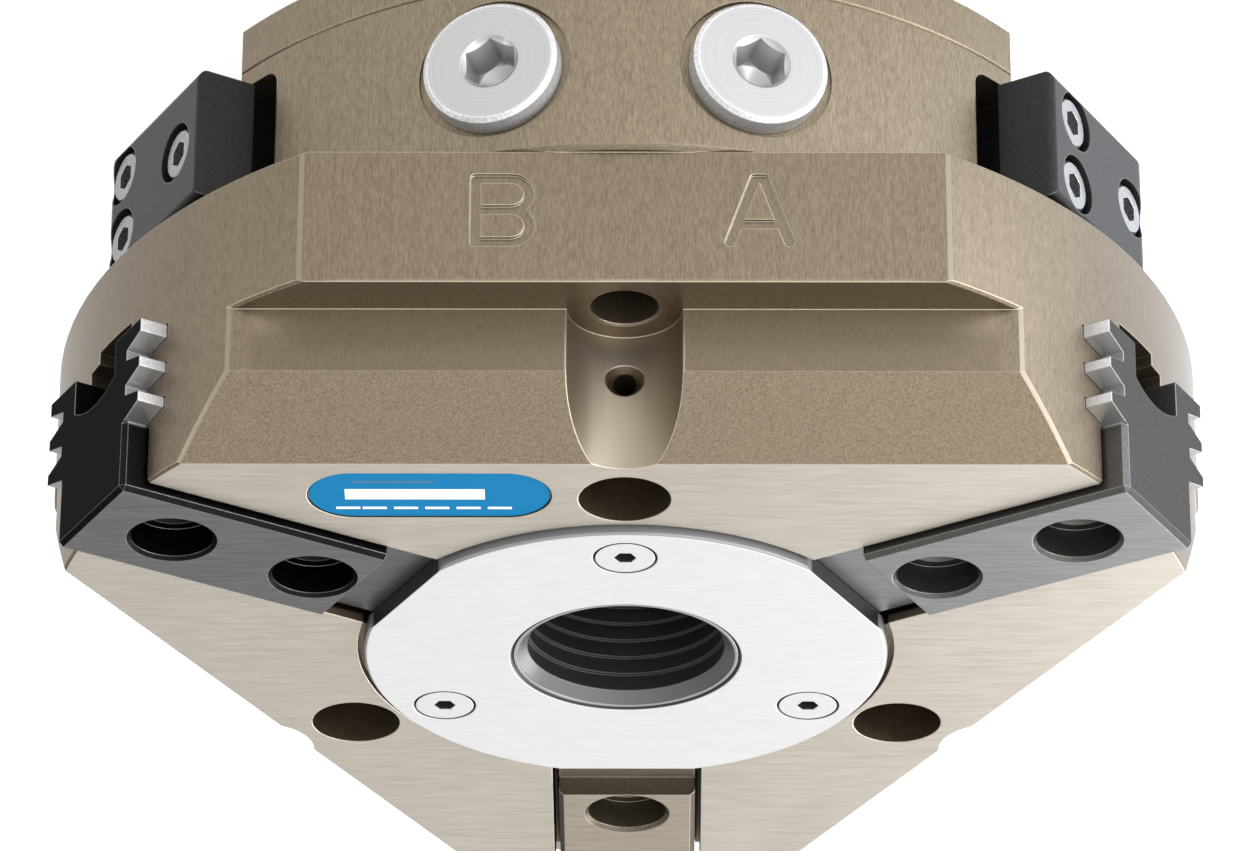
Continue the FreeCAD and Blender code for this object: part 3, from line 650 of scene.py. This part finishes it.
def paint_frame():
    dress(anodised(), "housing", "rear_cover")
    dress(brushed_plate(), "front_plate")
    dress(black_sleeve(), "center_sleeve")
    dress(label(), "nameplate")
    for angle in JAW_ANGLES:
        # Each jaw gets its own tones of painted light and shade.
        dress(jaw_steel(angle, *JAW_TONES_WITH_PAINTED_LIGHT[angle]), "jaw_%03d" % angle)

    for side, angle in PORT_ANGLES.items():
        plug = "port_plug_" + side
        low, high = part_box(plug)
        through = (0, 0, (low[2] + high[2]) / 2)
        dress(zinc("plug_zinc_" + side, through, heading(angle)), plug)

    steel = bright_steel("screw_steel")
    dull = bright_steel("bracket_screw_steel", (0.24, 0.24, 0.245), (0.36, 0.36, 0.365))
    dress(steel, "cover_screws", "channel_plugs")
    dress(dull, *("bracket_screws_%03d" % angle for angle in BRACKET_ANGLES))
    dress(plate_screw_steel(), "plate_screws")
    dress(black_anodised(), *("sensor_bracket_%03d" % angle for angle in BRACKET_ANGLES))

    hardened = bright_steel("hardened_steel", (0.20, 0.20, 0.205), (0.32, 0.32, 0.325))
    dress(hardened, "wedge_hook", "piston_nut", "sleeve_ring")
    dress(bright_steel("piston_aluminium", (0.55, 0.55, 0.56), (0.70, 0.70, 0.71)), "piston")
    dress(rubber(), "piston_seal", "neck_seal", "rod_seal", "sleeve_seal", "cover_seal",
          *("plug_seal_" + side for side in PORT_ANGLES))
    dress(guide_plastic(), "guide_ring")


# ---------------------------------------------------------------- stage
def softbox(name, place, size, radiance, tint):
    """Rectangular soft light of the given brightness, facing the lit point."""
    data = bpy.data.lights.new(name, "AREA")
    data.shape = "RECTANGLE"
    data.size, data.size_y = size
    data.energy = radiance * size[0] * size[1] * math.pi
    data.color = tint
    lamp = bpy.data.objects.new(name, data)
    bpy.context.collection.objects.link(lamp)
    direction = Vector(LIT_POINT) - Vector(place)
    turn = direction.to_track_quat("-Z", "Y").to_matrix().to_4x4()
    lamp.matrix_world = Matrix.Translation(place) @ turn


def light():
    """Light tent, brightest towards -X and the front, with four softboxes."""
    world = bpy.data.worlds.new("studio")
    world.use_nodes = True
    sky = Nodes(world.node_tree)
    towards = sky.axes(sky.add("ShaderNodeTexCoord").outputs["Generated"])
    sideways = sky.math("POWER", SIDE_FALL, towards[0])
    depth = sky.math("MULTIPLY_ADD", towards[1], -FRONT_GAIN)
    depth.node.inputs[2].default_value = TENT
    background = world.node_tree.nodes["Background"]
    background.inputs["Color"].default_value = (*WARM_WHITE, 1)
    sky.join(sky.math("MULTIPLY", sideways, depth), background.inputs["Strength"])
    bpy.context.scene.world = world
    for name, settings in SOFTBOXES.items():
        softbox(name, *settings)


def floor():
    """White floor just under the part, clear from below, with a glow that has zones."""
    mesh = bmesh.new()
    bmesh.ops.create_grid(mesh, x_segments=4, y_segments=4, size=FLOOR_HALF)
    data = bpy.data.meshes.new("floor")
    mesh.to_mesh(data)
    mesh.free()
    ground = bpy.data.objects.new("floor", data)
    ground.location.z = FLOOR_Z
    bpy.context.collection.objects.link(ground)

    p = Paint("floor_white")
    cloud = p.noise(p.place, 0.4, 1.0, 0.5)
    across, depth = p.axes(p.place)[0:2]
    middle = p.step(across, *MIDDLE_FADE, *GLOW_MIDDLE)
    behind = p.step(depth, *FRONT_TO_BACK)
    negative = p.blend(behind, *GLOW_NEGATIVE_X)
    positive = p.blend(behind, *GLOW_POSITIVE_X)
    side = p.blend(p.step(across, *SIDE_TO_SIDE), negative, positive)
    glow = p.blend(p.step(p.math("ABSOLUTE", across), *MIDDLE_EDGE), middle, side)
    tint = p.colour(p.step(across, *COOL_FADE), COOL_WHITE, WARM_WHITE)
    p.set(Base_Color=p.colour(cloud, (0.33, 0.33, 0.33), (0.35, 0.35, 0.35)), Roughness=0.9)
    p.set(Emission_Strength=glow, Emission_Color=tint)

    one_way = p.add("ShaderNodeMixShader")
    p.join(p.add("ShaderNodeNewGeometry").outputs["Backfacing"], one_way.inputs[0])
    p.join(p.shader.outputs[0], one_way.inputs[1])
    p.join(p.add("ShaderNodeBsdfTransparent").outputs[0], one_way.inputs[2])
    p.join(one_way.outputs[0], p.output.inputs["Surface"])
    data.materials.append(p.material)


def camera():
    yaw, rise, roll = (math.radians(v) for v in (YAW, ELEVATION, ROLL))
    back = Vector((math.sin(yaw) * math.cos(rise), -math.cos(yaw) * math.cos(rise), math.sin(rise)))
    right = (-back).cross(Vector((0, 0, 1))).normalized()
    up = right.cross(-back)
    tilted_right = right * math.cos(roll) + up * math.sin(roll)
    tilted_up = up * math.cos(roll) - right * math.sin(roll)
    turn = Matrix((-tilted_right, -tilted_up, back)).transposed().to_4x4()
    data = bpy.data.cameras.new("camera")
    data.lens = LENS
    data.sensor_width = SENSOR_WIDTH
    data.clip_start, data.clip_end = CLIP
    view = bpy.data.objects.new("camera", data)
    bpy.context.collection.objects.link(view)
    view.matrix_world = Matrix.Translation(TARGET + back * DISTANCE) @ turn
    bpy.context.scene.camera = view


def main():
    paint_frame()
    cut_threads()
    light()
    floor()
    camera()
    bpy.context.scene.view_settings.view_transform = "Standard"


main()
